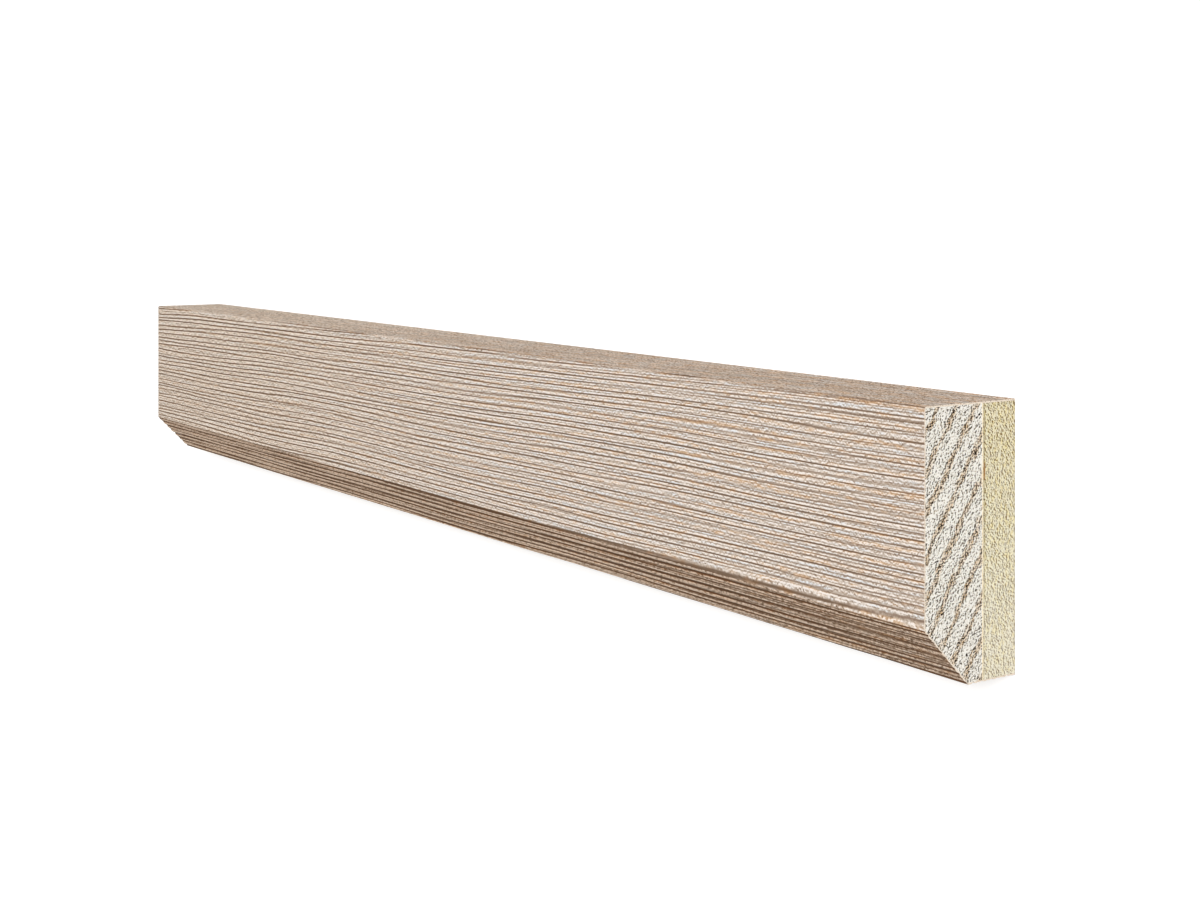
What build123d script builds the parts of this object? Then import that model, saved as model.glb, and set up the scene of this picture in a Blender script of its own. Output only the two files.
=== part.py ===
from build123d import *
import os

# Door cornice: a flat moulding that crowns a door casing, shown as one short length.
# A softwood bar and an MDF strip are glued face to face into one rectangular blank,
# the lower front edge of the blank is chamfered, and a decorative film is wrapped
# over the top edge, the face, the chamfer and the lower edge.
# The length lies along X, the height of the face along Y with the plain top edge
# at +Y, and the depth along Z, from the bare back at Z = 0 to the finished face.
# Origin: centre of the back face. All sizes are in millimetres.

# Finished size, measured over the film
piece_length = 430.0
face_height = 60.0
full_depth = 28.0
face_chamfer = 13.0

# Layers
backing_depth = 10.0
film_thickness = 0.4

# Corner rounding of the bare blank, which the film follows
blank_corner_radius = 0.3

# Sizes of the bare blank that follow from the finished size. The film covers both
# edges and the face but not the back. At 45 degrees, the film on the chamfer and the
# film on the face meet in a mitre, so the chamfer cut in the wood is a little shorter.
blank_height = face_height - 2 * film_thickness
blank_depth = full_depth - film_thickness
blank_chamfer = face_chamfer - (2 - 2**0.5) * film_thickness

# Planes that the pieces are drawn on and parted by
cut_end = Plane.YZ.offset(-piece_length / 2)
back_plane = Plane.XY
glue_plane = Plane.XY.offset(backing_depth)


# Section of the bare blank, seen along the length: local X is the height of the face
# and local Y is the depth. The two back corners stay sharp.
with BuildSketch() as blank_section:
    Rectangle(blank_height, blank_depth, align=(Align.CENTER, Align.MIN))
    lower_front_corner = blank_section.vertices().group_by(Axis.Y)[-1].sort_by(Axis.X)[0]
    chamfer(lower_front_corner, length=blank_chamfer)
    wrapped_corners = blank_section.vertices().filter_by_position(
        Axis.Y, minimum=0, maximum=blank_depth, inclusive=(False, True)
    )
    fillet(wrapped_corners, radius=blank_corner_radius)


# Section of the film: the blank's own section grown by the thickness of the film, so
# the rounded corners stay concentric, less the blank that it is wrapped around.
with BuildSketch() as film_section:
    add(blank_section.sketch)
    offset(amount=film_thickness, kind=Kind.ARC)
    add(blank_section.sketch, mode=Mode.SUBTRACT)


# Softwood bar: the front of the blank, with the chamfer and the rounded corners
with BuildPart() as pine_core:
    with BuildSketch(cut_end):
        add(blank_section.sketch)
    extrude(amount=piece_length)
    split(bisect_by=glue_plane, keep=Keep.TOP)

pine_core.part.label = "pine_core"


# MDF strip: the back of the same blank, bare on its back face
with BuildPart() as mdf_backing:
    with BuildSketch(cut_end):
        add(blank_section.sketch)
    extrude(amount=piece_length)
    split(bisect_by=glue_plane, keep=Keep.BOTTOM)

mdf_backing.part.label = "mdf_backing"


# Decorative film: wrapped round four sides and trimmed flush with the back
with BuildPart() as decor_film:
    with BuildSketch(cut_end):
        add(film_section.sketch)
    extrude(amount=piece_length)
    split(bisect_by=back_plane, keep=Keep.TOP)

decor_film.part.label = "decor_film"


os.makedirs("parts", exist_ok=True)
export_step(pine_core.part, "parts/pine_core.step")
export_step(mdf_backing.part, "parts/mdf_backing.step")
export_step(decor_film.part, "parts/decor_film.step")
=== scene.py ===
"""Looks of a door cornice moulding: a pine and MDF bar wrapped in decorative film.

The piece lies on its back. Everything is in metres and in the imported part's own frame:
X runs along the length, Y across the face towards the plain top edge, and Z out of the
face. The three packed layers give every place and size, and each one is replaced by a
mesh with the relief of the real surface: the embossed film, the sawn end grain of the
pine and the sawn end of the MDF.
"""

import logging
import math
from dataclasses import dataclass
from enum import Enum
from types import MappingProxyType
from typing import Callable, Mapping, Sequence, Union

import bmesh
import bpy
from mathutils import Matrix, Vector, noise


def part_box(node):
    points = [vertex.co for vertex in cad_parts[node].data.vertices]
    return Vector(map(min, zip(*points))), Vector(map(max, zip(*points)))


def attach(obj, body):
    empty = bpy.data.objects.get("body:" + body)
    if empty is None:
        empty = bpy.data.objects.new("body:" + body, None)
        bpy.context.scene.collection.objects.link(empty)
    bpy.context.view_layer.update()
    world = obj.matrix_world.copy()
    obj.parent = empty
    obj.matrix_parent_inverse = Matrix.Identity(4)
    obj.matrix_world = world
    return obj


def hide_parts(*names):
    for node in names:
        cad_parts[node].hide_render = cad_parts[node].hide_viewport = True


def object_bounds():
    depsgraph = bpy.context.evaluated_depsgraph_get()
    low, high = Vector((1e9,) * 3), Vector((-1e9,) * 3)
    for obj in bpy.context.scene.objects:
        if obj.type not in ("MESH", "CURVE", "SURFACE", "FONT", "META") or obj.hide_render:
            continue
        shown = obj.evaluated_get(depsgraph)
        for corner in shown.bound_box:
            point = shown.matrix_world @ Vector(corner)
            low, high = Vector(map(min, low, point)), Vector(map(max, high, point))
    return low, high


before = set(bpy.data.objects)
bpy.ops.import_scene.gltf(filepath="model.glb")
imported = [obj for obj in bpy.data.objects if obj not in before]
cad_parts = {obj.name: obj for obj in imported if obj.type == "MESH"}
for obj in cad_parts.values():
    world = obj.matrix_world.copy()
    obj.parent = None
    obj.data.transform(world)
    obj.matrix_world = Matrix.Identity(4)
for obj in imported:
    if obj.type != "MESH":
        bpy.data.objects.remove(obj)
CAD_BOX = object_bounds()

# A millimetre in metres, and the distance within which two points count as one
MM = 0.001
TOUCH = 0.01 * MM
RGB = tuple[float, float, float]
Triple = tuple[float, float, float]
Pair = tuple[float, float]
Stops = tuple[tuple[float, RGB], ...]
Sockets = Mapping[Union[str, int], object]
log = logging.getLogger("door_cornice")


def tint(red: float, green: float, blue: float) -> RGB:
    """Turn a colour as the eye reads it into the light values that shaders use.

    Args:
        red: Red from 0 to 255, or past it for a coat that brightens.
        green: Green, likewise.
        blue: Blue, likewise.

    Returns:
        The linear colour, where 255 is 1.
    """
    return tuple((part / 255) ** 2.2 for part in (red, green, blue))


class CutEnd(Enum):
    """The two sawn ends of the bar, by the direction each one faces along X."""

    NEAR = 1
    FAR = -1


@dataclass(frozen=True)
class Marks:
    """One layer of fine marks in a finish, such as streaks or pores.

    The cell is the size of a mark along the grain, across it and in depth. The seed moves
    the pattern, so that two layers differ. The share is how much the layer counts, and the
    detail is how many finer layers of smooth noise are added.
    """

    cell: Triple
    seed: float
    share: float = 1.0
    detail: float = 0


class Channel:
    """A number that varies over a surface. Arithmetic on it adds Math nodes."""

    def __init__(self, bench: "Bench", socket: bpy.types.NodeSocket) -> None:
        """Wrap one output socket of a bench's node tree."""
        self.bench = bench
        self.socket = socket

    def __add__(self, other: "Number") -> "Channel":
        """Sum of the two."""
        return self.bench.maths("ADD", self, other)

    __radd__ = __add__

    def __sub__(self, other: "Number") -> "Channel":
        """This less the other."""
        return self.bench.maths("SUBTRACT", self, other)

    def __rsub__(self, other: "Number") -> "Channel":
        """The other less this."""
        return self.bench.maths("SUBTRACT", other, self)

    def __mul__(self, other: "Number") -> "Channel":
        """Product of the two."""
        return self.bench.maths("MULTIPLY", self, other)

    __rmul__ = __mul__

    def __truediv__(self, other: "Number") -> "Channel":
        """This over the other."""
        return self.bench.maths("DIVIDE", self, other)

    def __pow__(self, other: "Number") -> "Channel":
        """This to the power of the other."""
        return self.bench.maths("POWER", self, other)

    def wrapped(self) -> "Channel":
        """The part of the number past its whole part."""
        return self.bench.maths("FRACT", self)

    def size(self) -> "Channel":
        """The number without its sign."""
        return self.bench.maths("ABSOLUTE", self)

    def step(self, low: float, high: float) -> "Channel":
        """Rise smoothly from 0 at low to 1 at high, or fall where high is under low.

        Args:
            low: Where the result is 0.
            high: Where the result is 1.

        Returns:
            The eased channel.
        """
        ends = (0, 1) if low < high else (1, 0)
        reach = {"Value": self, "From Min": min(low, high), "From Max": max(low, high)}
        settings = {"interpolation_type": "SMOOTHSTEP"}
        node = self.bench.node(
            "ShaderNodeMapRange", settings, {**reach, "To Min": ends[0], "To Max": ends[1]}
        )
        return Channel(self.bench, node.outputs["Result"])


Number = Union[Channel, float]


def oval(down: Channel, depth: Channel, place: Pair, size: Pair) -> Channel:
    """Measure how far a point lies from the middle of an oval spot.

    Args:
        down: Place of the point down the section.
        depth: Its place behind the face.
        place: Middle of the spot, down and behind.
        size: Half its size each way.

    Returns:
        The square of the distance: 1 on the rim of the spot.
    """
    return ((down - place[0]) / size[0]) ** 2 + ((depth - place[1]) / size[1]) ** 2


class Bench:
    """One material or sky in the making: its node tree and the ways to add to it.

    The two steps tell how many cells lie between a light mark and the dark one beside it.
    """

    STRAND_STEP = 0.6
    CRUMB_STEP = 1.4

    def __init__(self, owner: Union[bpy.types.Material, bpy.types.World]) -> None:
        """Empty the owner's node tree."""
        self.owner = owner
        owner.use_nodes = True
        self.tree = owner.node_tree
        self.tree.nodes.clear()

    @classmethod
    def material(cls, name: str) -> "Bench":
        """Start a new material."""
        return cls(bpy.data.materials.new(name))

    def spot(self) -> tuple[Channel, Channel, Channel]:
        """Read the place on the piece along X, Y and Z, in metres."""
        place = self.node("ShaderNodeTexCoord").outputs["Object"]
        parts = self.node("ShaderNodeSeparateXYZ", sockets={"Vector": place})
        return tuple(Channel(self, parts.outputs[axis]) for axis in "XYZ")

    def node(
        self,
        kind: str,
        settings: Mapping[str, object] = MappingProxyType({}),
        sockets: Sockets = MappingProxyType({}),
    ) -> bpy.types.Node:
        """Add a node, set it up and feed its sockets.

        Args:
            kind: The node's type.
            settings: Properties that are set first. A ramp's stops are pairs of place
                and colour.
            sockets: A value, a socket or a channel for each input, by name or number.

        Returns:
            The new node.
        """
        made = self.tree.nodes.new(kind)
        for name, value in settings.items():
            if name == "stops":
                self._set_stops(made.color_ramp, value)
            else:
                setattr(made, name, value)
        for name, value in sockets.items():
            if isinstance(value, Channel):
                value = value.socket
            if isinstance(value, bpy.types.NodeSocket):
                self.tree.links.new(value, made.inputs[name])
            else:
                made.inputs[name].default_value = value
        return made

    @staticmethod
    def _set_stops(ramp: bpy.types.ColorRamp, stops: Sequence[tuple[float, RGB]]) -> None:
        """Give a ramp its stops, in rising order."""
        while len(ramp.elements) < len(stops):
            ramp.elements.new(1.0)
        for element, (place, colour) in zip(ramp.elements, stops):
            element.position = place
            element.color = (*colour, 1)

    def maths(self, operation: str, first: Number, second: Number = 0.0) -> Channel:
        """Add one Math node and return its result."""
        made = self.node("ShaderNodeMath", {"operation": operation}, {0: first, 1: second})
        return Channel(self, made.outputs[0])

    def attribute(self, name: str) -> Channel:
        """Read a number that the mesh carries at each of its points."""
        made = self.node("ShaderNodeAttribute", {"attribute_name": name})
        return Channel(self, made.outputs["Fac"])

    def place(self, x: Number, y: Number, z: Number) -> bpy.types.NodeSocket:
        """Join three numbers into one place."""
        return self.node("ShaderNodeCombineXYZ", sockets={0: x, 1: y, 2: z}).outputs[0]

    def _cells(self, where: Sequence[Number], marks: Marks) -> bpy.types.NodeSocket:
        """Measure a place in the cells of a layer of marks."""
        spots = [axis * (1 / size) + marks.seed for axis, size in zip(where, marks.cell)]
        return self.place(*spots)

    def _lumps(self, where: Sequence[Number], marks: Marks) -> Channel:
        """Add smooth noise about 0, from about -0.5 to 0.5."""
        sockets = {"Vector": self._cells(where, marks), "Scale": 1, "Detail": marks.detail}
        made = self.node("ShaderNodeTexNoise", {"noise_dimensions": "3D"}, sockets)
        return Channel(self, made.outputs["Fac"]) - 0.5

    @staticmethod
    def _beside(where: Sequence[Number], marks: Marks, step: float) -> Sequence[Number]:
        """Move a place across the grain by a number of cells."""
        return (where[0], where[1] + marks.cell[1] * step, where[2])

    @staticmethod
    def _weigh(level: Channel, marks: Marks) -> Channel:
        """Scale a layer of marks to its share."""
        return level if marks.share == 1 else level * marks.share

    def grain(self, where: Sequence[Number], marks: Marks) -> Channel:
        """Add smooth noise.

        Args:
            where: The three coordinates, in the units of the cell.
            marks: The lumps of the noise.

        Returns:
            Noise about 0, at most about half the share either way.
        """
        return self._weigh(self._lumps(where, marks), marks)

    def strands(self, where: Sequence[Number], marks: Marks) -> Channel:
        """Add noise that stays even from afar: each light strand has a dark one beside it.

        Args:
            where: Place along the strands, place across them, and a third coordinate.
            marks: The strands.

        Returns:
            Noise about 0, at most about 0.7 of the share either way.
        """
        beside = self._beside(where, marks, self.STRAND_STEP)
        return self._weigh(self._lumps(where, marks) - self._lumps(beside, marks), marks)

    def flecks(self, where: Sequence[Number], marks: Marks) -> tuple[Channel, Channel]:
        """Scatter small cells, each one with a random number of its own.

        Args:
            where: The three coordinates, in the units of the cell.
            marks: The cells. Their share isn't counted here.

        Returns:
            The nearest cell's number less a half, and the distance from its middle, in cells.
        """
        settings = {"voronoi_dimensions": "3D", "feature": "F1"}
        sockets = {"Vector": self._cells(where, marks), "Scale": 1}
        made = self.node("ShaderNodeTexVoronoi", settings, sockets)
        parts = self.node("ShaderNodeSeparateColor", sockets={"Color": made.outputs["Color"]})
        return Channel(self, parts.outputs[0]) - 0.5, Channel(self, made.outputs["Distance"])

    def crumbs(self, where: Sequence[Number], marks: Marks) -> Channel:
        """Scatter small cells that stay even from afar: light ones have dark ones beside them.

        Args:
            where: Place along the grain, place across it, and a third coordinate.
            marks: The cells.

        Returns:
            Noise about 0, at most the share either way.
        """
        beside = self._beside(where, marks, self.CRUMB_STEP)
        level = self.flecks(where, marks)[0] - self.flecks(beside, marks)[0]
        return self._weigh(level, marks)

    def ramp(self, factor: Number, stops: Stops) -> bpy.types.NodeSocket:
        """Turn a number into a colour by a ramp's stops."""
        made = self.node("ShaderNodeValToRGB", {"stops": stops}, {"Fac": factor})
        return made.outputs["Color"]

    def blend(
        self, factor: Number, first: object, second: object, how: str = "MIX"
    ) -> bpy.types.NodeSocket:
        """Mix two colours.

        Args:
            factor: Share of the second colour.
            first: The colour under it.
            second: The colour laid over it.
            how: The way that the two are mixed.

        Returns:
            The mixed colour.
        """
        colours = [(*c, 1) if isinstance(c, tuple) else c for c in (first, second)]
        settings = {"data_type": "RGBA", "blend_type": how}
        made = self.node("ShaderNodeMix", settings, {0: factor, 6: colours[0], 7: colours[1]})
        return made.outputs[2]

    def glaze(
        self, colour: bpy.types.NodeSocket, *coats: tuple[Number, RGB]
    ) -> bpy.types.NodeSocket:
        """Lay thin coats over a colour, one after the other.

        Args:
            colour: The colour under them.
            coats: Share of each coat, and the colour that it multiplies in.

        Returns:
            The glazed colour.
        """
        for share, coat in coats:
            colour = self.blend(share, colour, coat, "MULTIPLY")
        return colour

    def finish(
        self,
        colour: bpy.types.NodeSocket,
        roughness: Number,
        height: Number,
        rise: float,
        gloss: float,
    ) -> bpy.types.Material:
        """Close the material with its surface shader.

        Args:
            colour: Base colour.
            roughness: Roughness of the surface.
            height: Fine relief, from about 0 to 1.
            rise: Height of that relief at 1, in metres.
            gloss: Level of the surface's plain reflection.

        Returns:
            The finished material.
        """
        relief = {"Height": height, "Distance": rise, "Strength": 1}
        normal = self.node("ShaderNodeBump", sockets=relief).outputs["Normal"]
        sockets = {"Base Color": colour, "Roughness": roughness, "Normal": normal}
        sockets["Specular IOR Level"] = gloss
        skin = self.node("ShaderNodeBsdfPrincipled", sockets=sockets)
        self.node("ShaderNodeOutputMaterial", sockets={"Surface": skin.outputs[0]})
        return self.owner


@dataclass(frozen=True)
class FilmPlace:
    """Where a point lies on the film.

    The flow is its place along the length, its count of line spacings across it, and 0.
    Shaded is 1 on the chamfer and the lower edge, where the film is printed darker and
    browner as painted shade, and top_edge is 1 on the top edge.
    """

    flow: tuple[Channel, Channel, float]
    shaded: Channel
    top_edge: Channel


@dataclass(frozen=True)
class FilmFinish:
    """Wood-effect film: the embossed lines printed brown, with fine streaks between them.

    The marks are measured in line spacings across the grain, so every layer widens where
    the lines do. Each reach says from where to where along X a look comes in. Plain is the
    tone between the marks.
    """

    streaks: Marks = Marks((60 * MM, 0.8, 1), 15.2, 0.2)
    hairs: Marks = Marks((21 * MM, 0.3, 1), 19.6, 0.36)
    dashes: Marks = Marks((2.4 * MM, 0.3, 1), 29.3, 0.2)
    specks: Marks = Marks((0.55 * MM, 0.19, 1), 23.9)
    blobs: Marks = Marks((1.3 * MM, 0.32, 1), 37.1, 0.38)
    long_hues: Marks = Marks((30 * MM, 0.85, 1), 41.3, 0.58)
    short_hues: Marks = Marks((3 * MM, 0.7, 1), 47.1, 0.52)
    edge_hues: Marks = Marks((5 * MM, 2.2, 1), 53.9)
    top_arris: Pair = (29.1 * MM, 29.8 * MM)
    blob_reach: Pair = (0.15, -0.15)
    far_reach: Pair = (0.1, -0.15)
    hue_reach: Pair = (-0.15, 0.2)
    top_shade_reach: Pair = (-0.2, 0.15)
    face: Stops = (
        (0.0, tint(114, 95, 79)),
        (0.25, tint(151, 132, 117)),
        (0.5, tint(185, 169, 154)),
        (0.75, tint(214, 202, 191)),
        (1.0, tint(242, 233, 226)),
    )
    # Ramp for the chamfer and the lower edge: the same print painted darker and browner, as
    # painted shade.
    chamfer: Stops = (
        (0.0, tint(97, 73, 54)),
        (0.25, tint(135, 111, 91)),
        (0.5, tint(173, 149, 128)),
        (0.75, tint(209, 185, 164)),
        (1.0, tint(237, 213, 192)),
    )
    warm: RGB = tint(279, 250, 213)
    cool: RGB = tint(242, 257, 272)
    far: RGB = tint(254, 250, 244)
    # Painted shade on the top edge.
    painted_top_shade: RGB = tint(233, 224, 215)
    plain: float = 0.6
    line_print: float = 0.62
    speck_share: float = 0.44
    roughness: float = 0.75
    gloss: float = 0.12
    relief: float = 0.04 * MM

    def build(self) -> bpy.types.Material:
        """Make the film's material.

        Returns:
            The material, which reads the flow of the mesh's own grooves and their depth.
        """
        bench = Bench.material("decor_film")
        x, y, _ = bench.spot()
        flow = (x, bench.attribute("flow"), 0.0)
        place = FilmPlace(flow, bench.attribute("shaded"), y.step(*self.top_arris))
        streaks = bench.strands(flow, self.streaks)
        tone = self._tone(bench, place, streaks)
        colour = self._colour(bench, place, tone)
        return bench.finish(colour, self.roughness - streaks, tone, self.relief, self.gloss)

    def _tone(self, bench: Bench, place: FilmPlace, streaks: Channel) -> Channel:
        """Work out how light the film is printed.

        Args:
            bench: The material in the making.
            place: Where the point lies.
            streaks: The longest of the fine marks.

        Returns:
            The tone, from about 0 in a strong line to 1 on the palest film.
        """
        x, shaded = place.flow[0], place.shaded
        specks = bench.crumbs(place.flow, self.specks)
        blobs = bench.crumbs(place.flow, self.blobs) * x.step(*self.blob_reach)
        hairs, dashes = (bench.strands(place.flow, marks) for marks in (self.hairs, self.dashes))
        fine = streaks + hairs + dashes + specks * self.speck_share + blobs
        lines = bench.attribute("groove") * (shaded * 0.3 + self.line_print) * (specks * 0.9 + 1)
        # Painted shade: the chamfer and the lower edge are printed darker, and their lines
        # stronger.
        tone = self.plain - shaded * 0.17 - lines + fine * (place.top_edge * 0.4 + 1)
        # Painted light: the top edge and the chamfer are printed lighter towards the far end.
        return tone + (place.top_edge * 0.025 + shaded * 0.07) * x.step(*self.far_reach)

    def _colour(self, bench: Bench, place: FilmPlace, tone: Channel) -> bpy.types.NodeSocket:
        """Print the tone in browns and lay warm and cool streaks over it.

        Args:
            bench: The material in the making.
            place: Where the point lies.
            tone: How light the film is printed there.

        Returns:
            The film's colour.
        """
        x, shaded = place.flow[0], place.shaded
        # The chamfer and the lower edge take their darker, browner ramp and fewer cool streaks:
        # painted shade.
        colour = bench.blend(shaded, bench.ramp(tone, self.face), bench.ramp(tone, self.chamfer))
        long, short = (bench.strands(place.flow, m) for m in (self.long_hues, self.short_hues))
        hue = long + short + bench.grain(place.flow, self.edge_hues) * place.top_edge
        strong = x.step(*self.hue_reach) * 0.36 + 0.42
        warm = hue.step(0.0, 0.3) * tone.step(1.2, 0.4) * strong
        cool = hue.step(0.0, -0.3) * tone.step(0.2, 0.8) * (strong - shaded * 0.3)
        far = x.step(*self.far_reach) * (1 - shaded * 0.7)
        # Painted shade: the top edge is darkened a little everywhere and more towards the near
        # end.
        painted_top_shade = place.top_edge * (x.step(*self.top_shade_reach) * 0.65 + 0.15)
        return bench.glaze(
            colour, (warm, self.warm), (cool, self.cool), (far, self.far), (painted_top_shade, self.painted_top_shade)
        )


@dataclass(frozen=True)
class MottledFinish:
    """A pale body with a soft mottle, such as the film's cut edge and the glue."""

    name: str
    mottle: Marks
    reach: Pair
    light: RGB
    dark: RGB
    roughness: float
    gloss: float
    relief: float = 0.02 * MM

    def build(self) -> bpy.types.Material:
        """Make the material.

        Returns:
            The material, which turns from light to dark over the reach of its mottle.
        """
        bench = Bench.material(self.name)
        mottle = bench.grain(bench.spot(), self.mottle)
        colour = bench.blend(mottle.step(*self.reach), self.light, self.dark)
        return bench.finish(colour, self.roughness, mottle, self.relief, self.gloss)


FILM_EDGE = MottledFinish(
    "film_cut_edge", Marks((0.4 * MM, 0.4 * MM, 0.4 * MM), 2.2, detail=1), (-0.2, 0.3),
    tint(240, 230, 216), tint(222, 208, 192), roughness=0.6, gloss=0.3,
)
GLUE = MottledFinish(
    "glue", Marks((0.5 * MM, 1.5 * MM, 0.5 * MM), 6.1, detail=1), (-0.25, 0.3),
    tint(250, 241, 216), tint(240, 224, 188), roughness=0.55, gloss=0.4,
)


@dataclass(frozen=True)
class RingPattern:
    """Growth rings of the pine: even bands that slant across the section."""

    spacing: float = 4.93 * MM
    tilt: float = math.radians(55.5)
    first: float = 8.4 * MM

    def across(self, down: Number, depth: Number) -> Number:
        """Measure across the rings, given metres under the top edge and behind the face."""
        return depth * math.sin(self.tilt) + down * math.cos(self.tilt)

    def along(self, down: Number, depth: Number) -> Number:
        """Measure along the rings, given metres under the top edge and behind the face."""
        return down * math.sin(self.tilt) - depth * math.cos(self.tilt)

    def count(self, down: Number, depth: Number) -> Number:
        """Count rings from the first one: whole in the middle of each dark band."""
        return (self.across(down, depth) - self.first) * (1 / self.spacing)


RINGS = RingPattern()


@dataclass(frozen=True)
class PineFinish:
    """Sawn end grain of pine: pale, with slanting brown bands and dark pores."""

    top: float
    face: float
    wander: Marks = Marks((9 * MM, 9 * MM, 9 * MM), 5.5, 0.35)
    jitter: Marks = Marks((2.2 * MM, 0.7 * MM, 2 * MM), 45.1, 0.4)
    patches: Marks = Marks((5 * MM, 2 * MM, 9 * MM), 51.7)
    pores: Marks = Marks((0.36 * MM, 0.29 * MM, 1.2 * MM), 11.1)
    dust: Marks = Marks((0.32 * MM, 0.27 * MM, 1 * MM), 19.3)
    soft: Marks = Marks((2 * MM, 0.9 * MM, 3 * MM), 35.5, 0.1)
    stops: Stops = (
        (0.0, tint(36, 25, 12)),
        (0.2, tint(108, 95, 74)),
        (0.4, tint(181, 171, 152)),
        (0.55, tint(209, 203, 189)),
        (0.7, tint(231, 228, 218)),
        (1.0, tint(255, 255, 251)),
    )
    band: RGB = tint(232, 198, 152)
    knot: RGB = tint(48, 38, 30)
    knot_place: Pair = (53.6 * MM, 12.8 * MM)
    knot_size: Pair = (0.34 * MM, 0.3 * MM)
    plain: float = 1.38
    pore_print: float = 1.75
    roughness: float = 0.85
    gloss: float = 0.2
    relief: float = 0.05 * MM

    def build(self) -> bpy.types.Material:
        """Make the pine's material.

        Returns:
            The material, which reads the depth of the mesh's own pores and paints them a
            little darker as painted shade.
        """
        bench = Bench.material("pine_end_grain")
        x, y, z = bench.spot()
        down, depth = self.top - y, self.face - z
        fibres = (RINGS.along(down, depth), RINGS.across(down, depth), x)
        count = RINGS.count(down, depth) + bench.grain((x, y, z), self.wander)
        count = count + bench.grain(fibres, self.jitter)
        offset = ((count + 0.5).wrapped() - 0.5).size()
        late = offset.step(0.22, 0.05) * bench.grain(fibres, self.patches).step(-0.65, -0.05)
        pores, apart = bench.flecks(fibres, self.pores)
        pores = (pores + late * 0.34).step(0.31, 0.38) * apart.step(0.85, 0.45)
        dust = bench.crumbs(fibres, self.dust) * (late * 0.9 + 2)
        # Painted shade: the tone is a little darker where the mesh's pores are deeper.
        tone = self.plain + dust + bench.grain(fibres, self.soft) - bench.attribute("pit") * 0.06
        tone = tone - late * 0.12 - pores * self.pore_print
        brown = late * (0.46 + pores * 0.5)
        colour = bench.glaze(bench.ramp(tone, self.stops), (brown, self.band))
        knot = oval(down, depth, self.knot_place, self.knot_size)
        colour = bench.blend(knot.step(1.6, 0.5), colour, self.knot)
        return bench.finish(colour, self.roughness, tone, self.relief, self.gloss)


@dataclass(frozen=True)
class MdfFinish:
    """Sawn MDF: yellowish cream with fine fibre speckle, darker beside the glue."""

    top: float
    joint: float
    lean: float = math.radians(72)
    fibre: Marks = Marks((0.33 * MM, 0.24 * MM, 2 * MM), 3.3, 2.4)
    dust: Marks = Marks((0.3 * MM, 0.25 * MM, 1 * MM), 13.9, 1.5)
    soft: Marks = Marks((2.4 * MM, 1.2 * MM, 3 * MM), 21.7, 0.2)
    hues: Marks = Marks((2 * MM, 1.2 * MM, 0.6 * MM), 61.9)
    drift: Marks = Marks((50 * MM, 9 * MM, 5 * MM), 8.8, 0.4)
    fall: float = 60 * MM
    stops: Stops = (
        (0.0, tint(112, 86, 34)),
        (0.3, tint(181, 160, 103)),
        (0.5, tint(208, 196, 149)),
        (0.7, tint(227, 218, 179)),
        (1.0, tint(255, 252, 228)),
    )
    warm: RGB = tint(255, 250, 228)
    cool: RGB = tint(248, 249, 255)
    # Painted shade towards the top edge, and painted light towards the bottom.
    upper_painted_shade: RGB = tint(250, 247, 241)
    lower: RGB = tint(255, 255, 255)
    # Darker strip beside the glue joint.
    joint_dark: RGB = tint(209, 202, 186)
    joint_dark_depth: Pair = (0.62 * MM, 0.3 * MM)
    arris: RGB = tint(236, 236, 240)
    arris_height: Pair = (0.6 * MM, 0.2 * MM)
    stain: RGB = tint(168, 118, 52)
    stain_place: Pair = (15 * MM, 0.0)
    stain_size: Pair = (2.4 * MM, 0.7 * MM)
    plain: float = 1.2
    roughness: float = 0.9
    gloss: float = 0.15
    relief: float = 0.04 * MM

    def build(self) -> bpy.types.Material:
        """Make the MDF's material.

        Returns:
            The material, which reads the fuzz of the mesh's own sawn ends and paints its
            hollows a little darker as painted shade.
        """
        bench = Bench.material("mdf_edge")
        x, y, z = bench.spot()
        down, deep = self.top - y, self.joint - z
        along = down * math.sin(self.lean) + deep * math.cos(self.lean)
        across = deep * math.sin(self.lean) - down * math.cos(self.lean)
        fibres = (along, across, x)
        dust = bench.flecks(fibres, self.dust)[0] * self.dust.share
        tone = self.plain + bench.crumbs(fibres, self.fibre) + dust
        # Painted shade: the tone is a little darker where the mesh's fuzz is deeper.
        tone = tone + bench.grain(fibres, self.soft) - bench.attribute("fuzz") * 0.05
        hue = bench.grain((x, y, z), self.hues)
        # Painted shade darkens the end towards the top edge, and painted light whitens it towards
        # the bottom.
        fall = down / self.fall + bench.grain((x, y, z), self.drift)
        warm, cool, upper_painted_shade = hue.step(0.0, 0.3), hue.step(0.0, -0.3), fall.step(0.6, -0.1)
        colour = bench.glaze(
            bench.ramp(tone, self.stops), (warm, self.warm), (cool, self.cool), (upper_painted_shade, self.upper_painted_shade)
        )
        # Painted light: whiter towards the bottom.
        colour = bench.blend(fall.step(0.4, 1.0) * 0.2, colour, self.lower)
        # Darker in a strip beside the glue joint, fading towards the bottom.
        joint_dark = deep.step(*self.joint_dark_depth) * fall.step(1.4, 0.1)
        arris = z.step(*self.arris_height) * 0.6
        colour = bench.glaze(colour, (joint_dark, self.joint_dark), (arris, self.arris))
        stain = oval(down, deep, self.stain_place, self.stain_size).step(1.3, 0.1)
        colour = bench.blend(stain * x.step(-0.01, 0.01) * 0.9, colour, self.stain)
        return bench.finish(colour, self.roughness, tone, self.relief, self.gloss)


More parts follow.
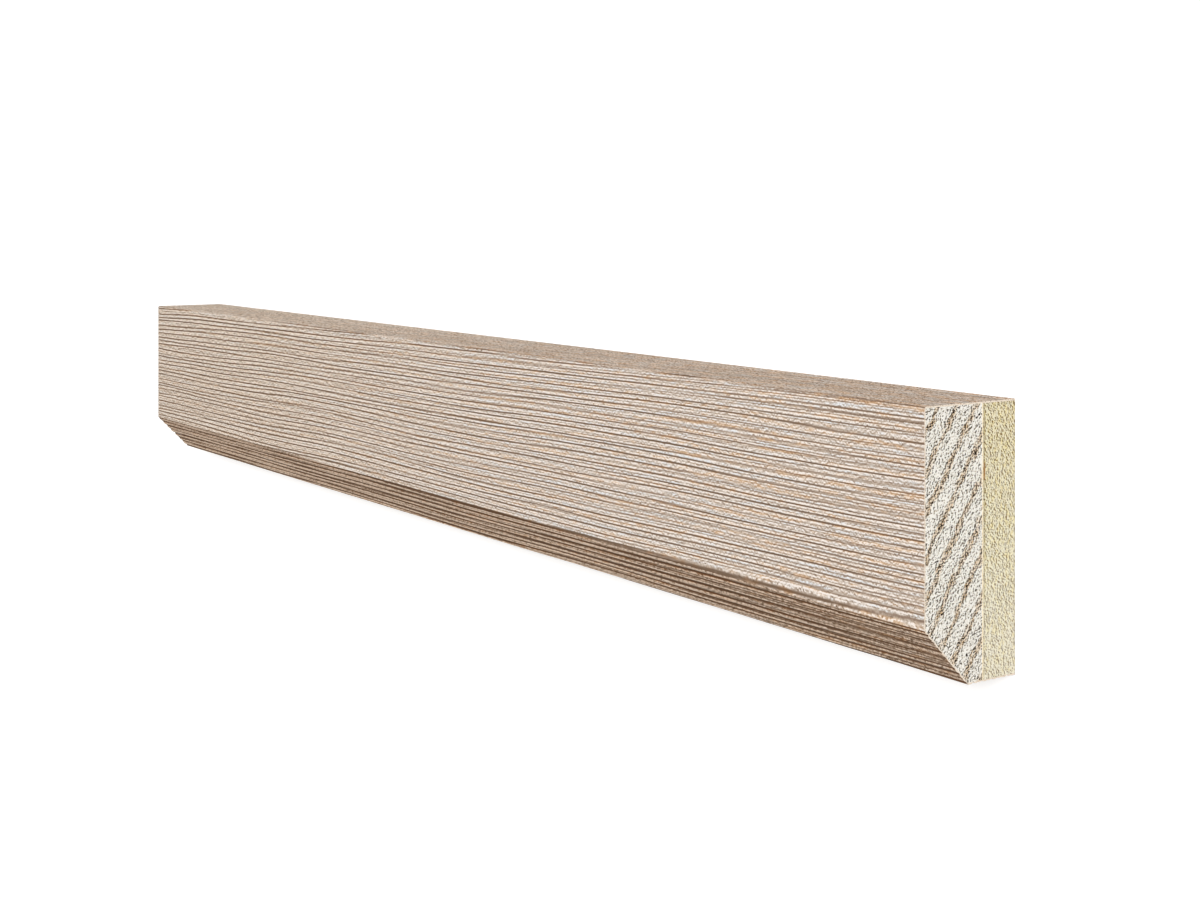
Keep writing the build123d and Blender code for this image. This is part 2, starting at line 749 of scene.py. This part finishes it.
@dataclass(frozen=True)
class MdfFaceFinish:
    """The pressed face of the MDF, on the back of the piece: smooth, tan and finely flecked."""

    cloud: Marks = Marks((26 * MM, 17 * MM, 9 * MM), 71.2, detail=2)
    fibre: Marks = Marks((3.2 * MM, 0.5 * MM, 0.5 * MM), 77.5, 0.8, 1)
    cross: Marks = Marks((0.6 * MM, 2.6 * MM, 0.6 * MM), 83.1, 0.7, 1)
    stops: Stops = (
        (0.0, tint(150, 126, 88)),
        (0.35, tint(188, 166, 124)),
        (0.6, tint(205, 185, 144)),
        (1.0, tint(226, 209, 172)),
    )
    plain: float = 0.55
    roughness: float = 0.62
    gloss: float = 0.35
    relief: float = 0.02 * MM

    def build(self) -> bpy.types.Material:
        """Make the pressed face's material.

        Returns:
            The material.
        """
        bench = Bench.material("mdf_face")
        spot = bench.spot()
        cloud = bench.grain(spot, self.cloud)
        fibre, cross = bench.grain(spot, self.fibre), bench.grain(spot, self.cross)
        tone = self.plain + cloud * 0.5 + fibre + cross
        colour, rough = bench.ramp(tone, self.stops), self.roughness - cloud * 0.3
        return bench.finish(colour, rough, tone, self.relief, self.gloss)


def is_cut_end(face: bmesh.types.BMFace) -> bool:
    """Say whether a face looks along the length, as the sawn ends do."""
    return abs(face.normal.x) > 0.5


def keep(
    name: str, bm: bmesh.types.BMesh, materials: Sequence[bpy.types.Material]
) -> bpy.types.Object:
    """Turn a finished bmesh into an object of the scene.

    Args:
        name: Name of the piece.
        bm: Its mesh, which is freed.
        materials: Its materials, in the order of the faces' material numbers.

    Returns:
        The new object, at the origin.
    """
    mesh = bpy.data.meshes.new(name)
    bm.to_mesh(mesh)
    bm.free()
    for material in materials:
        mesh.materials.append(material)
    made = bpy.data.objects.new(name, mesh)
    bpy.context.scene.collection.objects.link(made)
    return made


@dataclass(frozen=True)
class Slope:
    """A number that changes evenly along the length."""

    middle: float
    per_metre: float = 0.0

    def at(self, x: float) -> float:
        """Give the number at a place along the length."""
        return self.middle + self.per_metre * x


@dataclass(frozen=True)
class LineRow:
    """One row of embossed lines.

    The seed tells it from the others, and the pace is how many of its lines stand in one
    spacing. The width of a line and how far it strays are parts of its own row's spacing.
    """

    seed: float
    pace: float
    width: Slope
    stray: Slope
    share: Slope = Slope(1.0)


@dataclass(frozen=True)
class GrainLines:
    """The film's embossed lines: nearly even, each one fading in and out along its run.

    The creases are the two edges of the chamfer, where the film is folded: each is pressed in
    and printed as a dark line, partly painted shade along the fold. Below the face,
    the grain sways less: its calm grows from a share at the back of the lower edge.
    """

    face_spacing: float = 1.64 * MM
    chamfer_spacing: float = 2.6 * MM
    face_from: float = 33.4 * MM
    run: float = 75 * MM
    fade: float = 14 * MM
    sway: float = 1.2 * MM
    sway_wave: Pair = (85 * MM, 34 * MM)
    ripple: float = 0.14 * MM
    ripple_wave: Pair = (30 * MM, 9 * MM)
    rise: float = 0.012
    calm_share: float = 0.3
    calm_reach: Pair = (45 * MM, 60 * MM)
    lip: float = 0.62
    lip_spread: float = 6.0
    strength: float = 0.86
    strength_limits: Pair = (0.2, 1.1)
    creases: Pair = (15 * MM, 33.4 * MM)
    crease_width: float = 0.16 * MM
    crease_depth_and_shade: float = 0.55
    chamfer_depth: Slope = Slope(1.55, -3.0)
    chamfer_rows: tuple[LineRow, ...] = (
        LineRow(22.0, 1.0, Slope(0.21, -0.1), Slope(0.34)),
        LineRow(60.0, 1.9, Slope(0.2), Slope(0.5), Slope(0.7)),
    )
    face_depth: Slope = Slope(1.42, -1.8)
    face_rows: tuple[LineRow, ...] = (
        LineRow(0.0, 1.0, Slope(0.14, -0.08), Slope(0.5, -0.5)),
        LineRow(40.0, 2.15, Slope(0.2), Slope(0.45), Slope(0.5, 1.5)),
    )

    def flow(self, x: float, across: float) -> float:
        """Count line spacings from the back of the lower edge, along the wavy grain.

        Args:
            x: Place along the length.
            across: Place across the unrolled film.

        Returns:
            The count, which stays the same along one line.
        """
        sway = noise.noise((x / self.sway_wave[0], across / self.sway_wave[1], 3.3))
        ripple = noise.noise((x / self.ripple_wave[0], across / self.ripple_wave[1], 6.7))
        until, over = self.calm_reach
        loose = min(1.0, self.calm_share + across / over) if across < until else 1.0
        moved = across + (sway * self.sway - x * self.rise) * loose + ripple * self.ripple
        wide = min(moved, self.face_from)
        return wide / self.chamfer_spacing + (moved - wide) / self.face_spacing

    def groove(self, x: float, across: float, flow: float) -> float:
        """Tell how deep the grain is at a point.

        Args:
            x: Place along the length.
            across: Place across the unrolled film.
            flow: Count of line spacings there.

        Returns:
            0 on plain film, 1 in the middle of a strong line or on an edge of the
            chamfer, and under 0 on the raised lips beside a line.
        """
        # Creases: a pressed fold at each edge of the chamfer, printed dark, partly as painted
        # shade.
        creases = sum(math.exp(-(((across - c) / self.crease_width) ** 2)) for c in self.creases)
        on_chamfer = flow < self.face_from / self.chamfer_spacing
        rows = self.chamfer_rows if on_chamfer else self.face_rows
        depth = self.chamfer_depth if on_chamfer else self.face_depth
        lines = sum(row.share.at(x) * self._row(x, flow * row.pace, row) for row in rows)
        return lines * depth.at(x) + creases * self.crease_depth_and_shade

    def _row(self, x: float, count: float, row: LineRow) -> float:
        """Depth that one row of lines gives at a count of its own spacings.

        Args:
            x: Place along the length.
            count: Count of this row's spacings there.
            row: The row.

        Returns:
            About 1 in the middle of a line, and under 0 on its lips.
        """
        depth = 0.0
        along, weakest, strongest = x / self.run, *self.strength_limits
        for line in range(math.floor(count) - 1, math.floor(count) + 2):
            drift = noise.noise((along, line * 3.7, row.seed + 1.6)) * row.stray.at(x)
            strength = self.strength + noise.noise((along, line * 5.3, row.seed + 8.4)) * 0.55
            strength += noise.noise((x / self.fade, line * 9.1, row.seed + 5.2)) * 0.45
            swell = 1 + noise.noise((along, line * 7.9, row.seed + 3.1)) * 0.35
            gap = (count - line - 0.5 - drift) / (row.width.at(x) * swell)
            core, lips = math.exp(-gap * gap), math.exp(-gap * gap / self.lip_spread)
            profile = (1 + self.lip) * core - self.lip * lips
            depth += max(weakest, min(strongest, strength)) * profile
        return depth


@dataclass
class FilmWrap:
    """The decorative film, wrapped over both edges, the face and the chamfer."""

    chamfer: float = 13 * MM
    outer_radius: float = 0.7 * MM
    inner_radius: float = 0.3 * MM
    corner_steps: int = 3
    pitch_across: float = 0.15 * MM
    pitch_along: float = 3.9 * MM
    emboss_depth: float = 0.09 * MM
    chamfer_extra: float = 0.6
    lines: GrainLines = GrainLines()

    def __post_init__(self) -> None:
        """Read the film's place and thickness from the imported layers."""
        self.low, self.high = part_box("decor_film")
        self.thickness = self.high.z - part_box("pine_core")[1].z
        self.length = self.high.x - self.low.x

    def outline(self, inset: float) -> list[Pair]:
        """Corners of the wrapped section, from the back of the lower edge to that of the top.

        Args:
            inset: Distance inside the film's outer surface.

        Returns:
            Five (y, z) corners.
        """
        low, high = self.low.y + inset, self.high.y - inset
        back, face = self.low.z, self.high.z - inset
        leg = self.chamfer - (2 - math.sqrt(2)) * inset
        return [(low, back), (low, face - leg), (low + leg, face), (high, face), (high, back)]

    def unroll(self, y: float, z: float) -> tuple[float, float, Vector]:
        """Find a point's place on the unrolled film.

        Args:
            y: Its place across the face.
            z: Its height.

        Returns:
            Its distance from the sharp-cornered outer outline, its place along the film
            from the back of the lower edge, and the direction that the nearest side faces.
        """
        corners = self.outline(0)
        point, length = Vector((y, z)), 0.0
        found = []
        for start, end in zip(map(Vector, corners), map(Vector, corners[1:])):
            side = end - start
            share = max(0.0, min(side.length, (point - start).dot(side.normalized())))
            gap = (point - start - side.normalized() * share).length
            found.append((gap, length + share, Vector((0, -side.y, side.x)).normalized()))
            length += side.length
        return min(found, key=lambda row: row[0])

    def shell(self) -> bmesh.types.BMesh:
        """Draw the section, run it along the length and cut its outer side finely.

        Returns:
            The closed shell, with no relief yet.
        """
        bm = bmesh.new()
        outer, inner = self.outline(0), self.outline(self.thickness)
        loop = [bm.verts.new((self.low.x, y, z)) for y, z in outer + inner[::-1]]
        section = bm.faces.new(loop)
        run = bmesh.ops.extrude_face_region(bm, geom=[section])["geom"]
        moved = [item for item in run if isinstance(item, bmesh.types.BMVert)]
        bmesh.ops.translate(bm, verts=moved, vec=(self.length, 0, 0))
        self._round(bm, outer[1:4], self.outer_radius)
        self._round(bm, inner[1:4], self.inner_radius)
        self._cut_outer_side(bm)
        bmesh.ops.recalc_face_normals(bm, faces=bm.faces)
        return bm

    def _round(self, bm: bmesh.types.BMesh, corners: Sequence[Pair], radius: float) -> None:
        """Round the long edges at these corners, which turn 45 or, at the top, 90 degrees."""
        for y, z in corners:
            edges = [
                edge for edge in bm.edges
                if all(math.dist((v.co.y, v.co.z), (y, z)) < TOUCH for v in edge.verts)
            ]
            turn = math.radians(90 if y > 0 else 45)
            bmesh.ops.bevel(
                bm, geom=edges, offset=radius * math.tan(turn / 2), offset_type="OFFSET",
                segments=self.corner_steps, profile=0.5, affect="EDGES", material=-1,
            )

    def _is_outer(self, face: bmesh.types.BMFace) -> bool:
        """Say whether a face is on the film's outer surface."""
        face.normal_update()
        centre = face.calc_center_median()
        gap = self.unroll(centre.y, centre.z)[0]
        return not is_cut_end(face) and gap < self.thickness / 4

    def _cut_outer_side(self, bm: bmesh.types.BMesh) -> None:
        """Cut the outer surface into narrow strips, and the strips into short lengths."""
        for face in [face for face in bm.faces if self._is_outer(face)]:
            ends = [e for e in face.edges if abs(e.verts[0].co.x - e.verts[1].co.x) < MM]
            cuts = round(ends[0].calc_length() / self.pitch_across) - 1
            if cuts > 0:
                bmesh.ops.subdivide_edges(bm, edges=ends, cuts=cuts)
        strips = [face for face in bm.faces if self._is_outer(face)]
        long = [e for face in strips for e in face.edges if e.calc_length() > self.length / 2]
        cuts = round(self.length / self.pitch_along) - 1
        bmesh.ops.subdivide_edges(bm, edges=list(dict.fromkeys(long)), cuts=cuts)

    def emboss(self, bm: bmesh.types.BMesh) -> None:
        """Press the grain into the outer surface and note it at each point.

        Args:
            bm: The shell.
        """
        names = ("groove", "flow", "shaded")
        groove_layer, flow_layer, shaded_layer = map(bm.verts.layers.float.new, names)
        for vert in bm.verts:
            gap, across, facing = self.unroll(vert.co.y, vert.co.z)
            flow = self.lines.flow(vert.co.x, across)
            vert[flow_layer] = flow
            # Shaded marks the chamfer and the lower edge: the material paints them darker and
            # browner as painted shade, and the emboss there is deeper.
            vert[shaded_layer] = shaded = float(across < self.lines.face_from)
            if gap > self.thickness / 2 or vert.co.z < TOUCH:
                continue
            groove = self.lines.groove(vert.co.x, across, flow)
            vert[groove_layer] = groove
            depth = self.emboss_depth * (1 + self.chamfer_extra * shaded)
            vert.co -= facing * max(0.0, groove + self.lines.lip) * depth

    def build(self) -> bpy.types.Object:
        """Make the film and dress it.

        Returns:
            The film's object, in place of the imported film.
        """
        bm = self.shell()
        self.emboss(bm)
        for face in bm.faces:
            face.smooth = len(face.verts) == 4 and not is_cut_end(face)
            face.material_index = int(is_cut_end(face))
        for edge in bm.edges:
            edge.smooth = all(face.smooth for face in edge.link_faces)
        made = keep("embossed_film", bm, [FilmFinish().build(), FILM_EDGE.build()])
        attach(made, "root")
        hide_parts("decor_film")
        return made


@dataclass
class SawnLayer:
    """A layer of the blank with a finely cut mesh on both of its sawn ends."""

    name: str
    node: str
    end_finish: bpy.types.Material
    side_finish: bpy.types.Material
    slot: str
    mark: str
    relief: Callable[[float, float, CutEnd], float]
    depth: float
    pitch: float = 0.22 * MM
    recess: float = 0.03 * MM
    trims: Sequence[tuple[Vector, Vector]] = ()

    def __post_init__(self) -> None:
        """Read the layer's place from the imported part."""
        self.low, self.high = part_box(self.node)

    def bar(self) -> bmesh.types.BMesh:
        """Lay a fine grid on each end, trim it to the section and join the two.

        Returns:
            The closed bar, with no relief yet.
        """
        bm = bmesh.new()
        half, centre = (self.high - self.low) / 2, (self.high + self.low) / 2
        cuts = [round(2 * size / self.pitch) for size in (half.y, half.z)]
        facing_x = Matrix(((0, 0, 1, 0), (1, 0, 0, 0), (0, 1, 0, 0), (0, 0, 0, 1)))
        for end in CutEnd:
            place = Matrix.Translation((end.value * half.x + centre.x, centre.y, centre.z))
            bmesh.ops.create_grid(
                bm, size=1, matrix=place @ facing_x @ Matrix.Diagonal((half.y, half.z, 1, 1)),
                x_segments=cuts[0], y_segments=cuts[1],
            )
        for point, outward in self.trims:
            bmesh.ops.bisect_plane(
                bm, geom=[*bm.verts, *bm.edges, *bm.faces], plane_co=point, plane_no=outward,
                dist=TOUCH, clear_outer=True,
            )
        bmesh.ops.bridge_loops(bm, edges=[edge for edge in bm.edges if edge.is_boundary])
        bmesh.ops.recalc_face_normals(bm, faces=bm.faces)
        return bm

    def build(self) -> bpy.types.Object:
        """Make the layer, with the relief of its sawn ends.

        Returns:
            The layer's object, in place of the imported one.
        """
        bm = self.bar()
        layer = bm.verts.layers.float.new(self.mark)
        for vert in bm.verts:
            end = CutEnd.NEAR if vert.co.x > 0 else CutEnd.FAR
            vert[layer] = self.relief(vert.co.y, vert.co.z, end)
            vert.co.x -= end.value * (self.recess + vert[layer] * self.depth)
        for face in bm.faces:
            face.smooth = is_cut_end(face)
            face.material_index = int(not is_cut_end(face))
        for edge in bm.edges:
            edge.smooth = all(face.smooth for face in edge.link_faces)
        made = keep(self.name, bm, [self.end_finish, self.side_finish])
        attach(made, "root")
        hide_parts(self.node)
        return made


@dataclass
class Blank:
    """The glued blank under the film: the pine bar, the MDF strip and the glue."""

    film: FilmWrap
    pore: Pair = (0.42 * MM, 0.36 * MM)
    swell: Pair = (2.0 * MM, 0.9 * MM)
    fuzz: Pair = (0.6 * MM, 0.35 * MM)
    band: float = 0.25
    pine_depth: float = 0.07 * MM
    mdf_depth: float = 0.05 * MM
    glue_width: float = 0.3 * MM
    glue_rise: float = 0.25 * MM
    glue_depth: float = 1.5 * MM
    glue_pitch: float = 0.4 * MM
    ooze: Pair = (1.6 * MM, 1 * MM)
    ooze_share: float = 0.25

    def pine_relief(self, y: float, z: float, end: CutEnd) -> float:
        """Depth of the pores at a point of the pine's end, from 0 to 1."""
        down, depth = self.film.high.y - y, self.film.high.z - z
        along, across = RINGS.along(down, depth), RINGS.across(down, depth)
        count = RINGS.count(down, depth)
        late = max(0.0, 1 - abs(count - round(count)) / self.band)
        pore = noise.noise((along / self.pore[0], across / self.pore[1], 5 * end.value))
        swell = noise.noise((along / self.swell[0], across / self.swell[1], 11 * end.value))
        return max(0.0, min(1.0, pore * 2.0 + late * 0.05 - 0.35 + swell * 0.2))

    def mdf_relief(self, y: float, z: float, end: CutEnd) -> float:
        """Depth of the fuzz at a point of the MDF's end, from 0 to 1."""
        fibre = noise.noise((y / self.fuzz[0], z / self.fuzz[1], 7 * end.value))
        return max(0.0, min(1.0, 0.45 + fibre * 0.9))

    def pine(self) -> bpy.types.Object:
        """Make the pine bar with its chamfered edge.

        Returns:
            The bar's object.
        """
        film = self.film
        _, _, chamfer_top, top_corner, _ = film.outline(film.thickness)
        ease = film.inner_radius * (2 - math.sqrt(2))
        trims = (
            (Vector((0, *chamfer_top)), Vector((0, -1, 1)).normalized()),
            (Vector((0, top_corner[0] - ease, top_corner[1])), Vector((0, 1, 1)).normalized()),
        )
        finish = PineFinish(film.high.y, film.high.z).build()
        return SawnLayer(
            "pine_bar", "pine_core", finish, finish, "pine", "pit", self.pine_relief,
            self.pine_depth, trims=trims,
        ).build()

    def mdf(self) -> bpy.types.Object:
        """Make the MDF strip.

        Returns:
            The strip's object.
        """
        sawn = MdfFinish(self.film.high.y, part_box("mdf_backing")[1].z).build()
        pressed = MdfFaceFinish().build()
        return SawnLayer(
            "mdf_strip", "mdf_backing", sawn, pressed, "mdf", "fuzz", self.mdf_relief,
            self.mdf_depth,
        ).build()

    def glue(self) -> bpy.types.Object:
        """Make the glue line that shows at both ends, a little uneven along its height.

        Returns:
            The glue line's object.
        """
        low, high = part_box("mdf_backing")
        height = high.y - low.y
        size = Vector((self.glue_depth, height, self.glue_width))
        bm = bmesh.new()
        for end in CutEnd:
            x = end.value * (high.x - self.glue_depth / 2)
            centre = Vector((x, (low.y + high.y) / 2, high.z + self.glue_rise))
            place = Matrix.LocRotScale(centre, None, size)
            bmesh.ops.create_cube(bm, size=1, matrix=place)
        tall = [e for e in bm.edges if abs(e.verts[0].co.y - e.verts[1].co.y) > self.glue_depth]
        bmesh.ops.subdivide_edges(bm, edges=tall, cuts=round(height / self.glue_pitch))
        for vert in bm.verts:
            place = (vert.co.y / self.ooze[0], vert.co.x, vert.co.z / self.ooze[1])
            vert.co.z += noise.noise(place) * self.glue_width * self.ooze_share
        made = keep("glue_line", bm, [GLUE.build()])
        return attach(made, "root")


@dataclass
class Studio:
    """Pale floor, even sky, one soft lamp and the camera of the reference view."""

    lens: float = 50.88
    sensor: float = 36
    turn: float = math.radians(57.76)
    place: Triple = (0.46493, 0.07132, 0.29415)
    shift: Pair = (0.0970, -0.2015)
    near_clip: float = 10 * MM
    lamp_place: Triple = (2.15, 1.15, 2.7)
    lamp_side: float = 1.5
    lamp_power: float = 135
    sky: RGB = (0.29, 0.272, 0.25)
    bounce: RGB = (0.5, 0.45, 0.39)
    white: RGB = (1, 1, 1)
    floor_pale: RGB = (0.6, 0.6, 0.6)
    floor_glow: float = 0.62
    floor_half: float = 4
    floor_gap: float = 0.2 * MM
    eyes: tuple[str, ...] = ("Camera", "Glossy", "Transmission")

    def camera(self) -> None:
        """Set the camera, which looks down along the piece and keeps its uprights upright."""
        data = bpy.data.cameras.new("camera")
        data.lens, data.sensor_width = self.lens, self.sensor
        data.shift_x, data.shift_y = self.shift
        data.clip_start = self.near_clip
        made = bpy.data.objects.new("camera", data)
        made.location = self.place
        made.rotation_euler = (0, self.turn, 0)
        bpy.context.scene.collection.objects.link(made)
        bpy.context.scene.camera = made

    def lamp(self) -> None:
        """Hang one soft square lamp that points at the piece."""
        data = bpy.data.lights.new("key", "AREA")
        data.shape, data.size, data.energy = "SQUARE", self.lamp_side, self.lamp_power
        made = bpy.data.objects.new("key", data)
        made.location = self.lamp_place
        made.rotation_euler = Vector(self.lamp_place).to_track_quat("Z", "Y").to_euler()
        bpy.context.scene.collection.objects.link(made)

    def split(
        self, bench: Bench, real: bpy.types.Node, seen: bpy.types.Node, end: str
    ) -> None:
        """Light the piece with one shader, and show another to the eye and to reflections.

        Args:
            bench: Bench of the floor or the sky.
            real: Shader that lights the piece.
            seen: Shader that is seen.
            end: Type of the output node.
        """
        rays = bench.node("ShaderNodeLightPath")
        kinds = [Channel(bench, rays.outputs[f"Is {eye} Ray"]) for eye in self.eyes]
        sockets = {0: sum(kinds), 1: real.outputs[0], 2: seen.outputs[0]}
        pick = bench.node("ShaderNodeMixShader", sockets=sockets)
        bench.node(end, sockets={"Surface": pick.outputs[0]})

    def world(self) -> None:
        """Give the sky an even light, and let the eye see it white."""
        bench = Bench(bpy.data.worlds.new("studio"))
        bpy.context.scene.world = bench.owner
        lit = bench.node("ShaderNodeBackground", sockets={"Color": (*self.sky, 1)})
        seen = bench.node("ShaderNodeBackground", sockets={"Color": (*self.white, 1)})
        self.split(bench, lit, seen, "ShaderNodeOutputWorld")

    def floor(self) -> None:
        """Lay the floor just under the piece. It looks white but for the piece's shadow."""
        bm = bmesh.new()
        bmesh.ops.create_grid(bm, x_segments=1, y_segments=1, size=self.floor_half)
        bmesh.ops.translate(bm, verts=bm.verts, vec=(0, 0, CAD_BOX[0].z - self.floor_gap))
        bench = Bench.material("floor")
        matt = bench.node("ShaderNodeBsdfDiffuse", sockets={"Color": (*self.bounce, 1)})
        pale = bench.node("ShaderNodeBsdfDiffuse", sockets={"Color": (*self.floor_pale, 1)})
        light = {"Color": (*self.white, 1), "Strength": self.floor_glow}
        glow = bench.node("ShaderNodeEmission", sockets=light)
        seen = bench.node("ShaderNodeAddShader", sockets={0: pale.outputs[0], 1: glow.outputs[0]})
        self.split(bench, matt, seen, "ShaderNodeOutputMaterial")
        keep("floor", bm, [bench.owner])

    def build(self) -> None:
        """Set up the whole studio."""
        self.floor()
        self.world()
        self.lamp()
        self.camera()
        bpy.context.scene.view_settings.view_transform = "Standard"


def report(piece: bpy.types.Object) -> None:
    """Log the size of one finished piece."""
    size = [round(side / MM, 2) for side in piece.dimensions]
    log.info("%s: %d faces, %s mm", piece.name, len(piece.data.polygons), size)


def main() -> None:
    """Build the film, the blank and the studio."""
    logging.basicConfig(level=logging.INFO, format="%(name)s %(message)s")
    film = FilmWrap()
    report(film.build())
    blank = Blank(film)
    for make in (blank.pine, blank.mdf, blank.glue):
        report(make())
    Studio().build()


if __name__ == "__main__":
    main()
